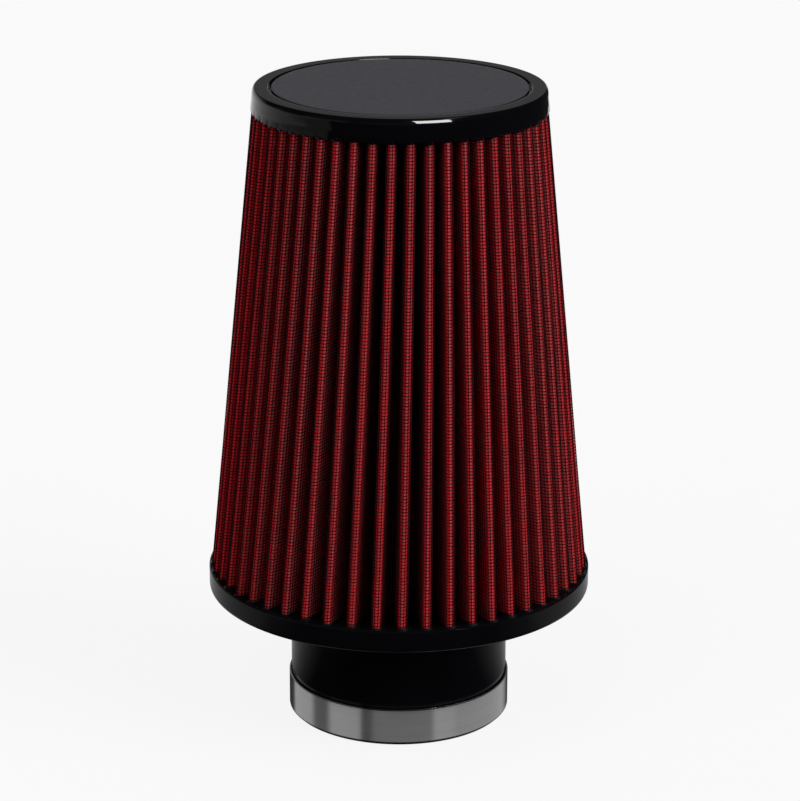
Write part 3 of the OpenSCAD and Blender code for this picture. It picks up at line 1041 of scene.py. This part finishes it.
class AIRFILTER_OT_stage(Operator):
    """Set up the pale floor, the lights and the camera"""
    bl_idname = "air_filter.stage"
    bl_label = "Studio"

    def execute(self, context):
        self.floor()
        self.flag()
        self.world()
        soft = math.radians(40)
        lamp("Key", "SUN", 2.5, (0.72, -0.38, 0.57), angle=soft)
        side = lamp("Side", "SUN", 1.05, (-0.37, -0.44, 0.82), angle=soft)
        back = lamp("Back", "SUN", 1.1, (0.0, 0.99, 0.12), angle=soft)
        side.visible_glossy = False
        back.visible_glossy = False
        self.softbox()
        self.camera()
        return {"FINISHED"}

    def softbox(self):
        """The white window in the top cap's gloss."""
        box = lamp("Softbox", "AREA", 90, (0.52, -1.1, 0.72), (0, 0, 0.24), shape="RECTANGLE",
                   size=0.62, size_y=0.62)
        box.visible_diffuse = False
        lit = bpy.data.collections.new("Lit by the softbox")
        for name in ("top_cap_moulding", "cotton_ply_1", "cotton_ply_2"):
            lit.objects.link(bpy.data.objects[name])
        box.light_linking.receiver_collection = lit

    def floor(self):
        """A white paper floor.

        Reflections see it dark in front of the filter, as if that stood at a table's edge, and
        open round its foot, where the band mirrors the cards.
        """
        c = settings().colours.floor
        deselect()
        bpy.ops.mesh.primitive_plane_add(size=16)
        obj = bpy.context.object
        obj.name = obj.data.name = "floor"
        f = Finish("Pale studio floor", specular=0.0)
        f.give(Base_Color=tuple(c) + (1,), Roughness=0.9)
        camera, mirrored = f.rays()
        spot = f.coordinates()
        x, y, _ = f.axes(spot)
        aside = f.sum("ADD", y, f.sum("MULTIPLY", f.sum("ABSOLUTE", x), 0.75))
        lit = f.sum("MULTIPLY", f.spread(aside, -0.02, 0.1, 0, 1),
                    f.spread(aside, 0.85, 1.4, 0.5, 1))
        seen = f.sum("MULTIPLY", f.spread(f.reach(spot), 0.06, 0.35, 0, 1), lit)
        seen = f.sum("MAXIMUM", seen, f.spread(aside, 0.04, 0.1, 0, 0.4))
        glow = f.add("ShaderNodeEmission", {"Strength": f.blend(mirrored, 1.0, seen)})
        lift = f.sum("MAXIMUM", f.sum("MULTIPLY", camera, 0.88), mirrored)
        paper = f.add("ShaderNodeMixShader", {0: lift, 1: f.shader.outputs[0], 2: glow.outputs[0]})
        foot = f.add("ShaderNodeVectorMath", {0: spot, 1: (0, 0.0098, 0)}, operation="ADD")
        near = f.spread(f.reach(foot.outputs["Vector"]), 0.068, 0.071, 1, 0)
        clear = f.add("ShaderNodeBsdfTransparent")
        shown = f.add("ShaderNodeMixShader", {0: f.sum("MULTIPLY", near, mirrored),
                                              1: paper.outputs[0], 2: clear.outputs[0]})
        f.links.new(shown.outputs[0], f.nodes["Material Output"].inputs["Surface"])
        obj.data.materials.append(f.material)
        obj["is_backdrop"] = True

    def flag(self):
        """A black card at the right that only shows in reflections."""
        deselect()
        bpy.ops.mesh.primitive_plane_add(size=1)
        obj = bpy.context.object
        obj.name = obj.data.name = "black_flag"
        upright = corners(obj.data)[:, [2, 1, 0]]
        place(obj.data, upright * (0, 1.75, 0.7) + (0.36, 0.425, 0.36))
        f = Finish("Black card")
        f.give(Base_Color=(0.03, 0.03, 0.03, 1), Roughness=1.0)
        obj.data.materials.append(f.material)
        for way in ("camera", "diffuse", "transmission", "shadow"):
            setattr(obj, f"visible_{way}", False)
        obj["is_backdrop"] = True

    def world(self):
        """A grey fill, white to the camera.

        Reflections see white behind the filter and cards round its front.
        """
        world = bpy.data.worlds.new("Studio")
        bpy.context.scene.world = world
        world.use_nodes = True
        f = Nodes(world.node_tree)
        camera, mirrored = f.rays()
        way = f.axes(f.coordinates("Generated"))
        cards = self.cards(f, way)
        right_back = f.spread(way["Y"], 0.55, 0.8, 0.08, 1)
        behind = f.sum("MULTIPLY", f.spread(way["Z"], 0.1, 0.2, 0.94, 0.17), right_back)
        low = f.spread(way["Z"], 0.0, 0.2, 1.0, 0.15)
        front = f.sum("MULTIPLY", cards, low)
        above = f.blend(f.spread(way["Y"], 0.1, 0.45, 0, 1), front, behind)
        room = f.blend(f.spread(way["Z"], -0.01, 0.01, 0, 1), cards, above)
        light = f.blend(camera, f.blend(mirrored, 0.3, room), 0.94)
        f.nodes["Background"].inputs["Color"].default_value = (1, 1, 1, 1)
        f.links.new(light, f.nodes["Background"].inputs["Strength"])

    def cards(self, f, way):
        """Brightness of the cards round the front, by their direction in degrees from straight ahead."""
        ahead = f.sum("ARCTAN2", way["X"], f.sum("MULTIPLY", way["Y"], -1.0))
        ramp = f.add("ShaderNodeValToRGB", {"Fac": f.spread(ahead, -math.pi, math.pi, 0, 1)})
        stops = ramp.color_ramp.elements
        for angle, glow in CARDS:
            stop = stops.new((angle + 180) / 360)
            stop.color = (glow, glow, glow, 1)
        stops.remove(stops[0])
        stops.remove(stops[-1])
        return ramp.outputs["Color"]

    def camera(self):
        """The photograph's camera. Its focal length was found in pixels of a frame 801 pixels high."""
        data = bpy.data.cameras.new("Camera")
        data.sensor_width = 36
        data.lens = 3100.91 / 801 * data.sensor_width
        data.clip_start = 0.01
        obj = bpy.data.objects.new("Camera", data)
        bpy.context.collection.objects.link(obj)
        turn = (Matrix.Rotation(-0.00022, 4, "Z") @ Matrix.Rotation(math.pi / 2 - 0.3193, 4, "X")
                @ Matrix.Rotation(0.0028, 4, "Z"))
        obj.matrix_world = Matrix.Translation((0, -1.1477, 0.5065)) @ turn
        bpy.context.scene.camera = obj
        bpy.context.scene.view_settings.view_transform = "Standard"


class AIRFILTER_PT_panel(Panel):
    """Lists the filter's pieces"""
    bl_label = "Air Filter"
    bl_idname = "AIRFILTER_PT_panel"
    bl_space_type = "VIEW_3D"
    bl_region_type = "UI"
    bl_category = "Air Filter"

    def draw(self, context):
        for step in STEPS:
            self.layout.operator(step.bl_idname)
        for group in ("caps", "pleats", "wires", "clamp", "colours"):
            box = self.layout.box()
            values = getattr(settings(), group)
            for key in values.__annotations__:
                box.prop(values, key)


STEPS = (
    AIRFILTER_OT_base_cap, AIRFILTER_OT_top_cap, AIRFILTER_OT_top_plate, AIRFILTER_OT_gauze,
    AIRFILTER_OT_inner_screen, AIRFILTER_OT_outer_screen, AIRFILTER_OT_clamp_band,
    AIRFILTER_OT_clamp_housing, AIRFILTER_OT_clamp_screw, AIRFILTER_OT_stage,
)
CLASSES = (CapSizes, PleatSizes, WireSizes, ClampSizes, FinishColours, AirFilterSettings) + STEPS + (
    AIRFILTER_PT_panel,)


def register():
    for cls in CLASSES:
        bpy.utils.register_class(cls)
    bpy.types.Scene.air_filter = PointerProperty(type=AirFilterSettings)


def unregister():
    del bpy.types.Scene.air_filter
    for cls in reversed(CLASSES):
        bpy.utils.unregister_class(cls)


def main():
    register()
    for step in STEPS:
        getattr(bpy.ops.air_filter, step.bl_idname.split(".")[1])()


if __name__ == "__main__":
    main()
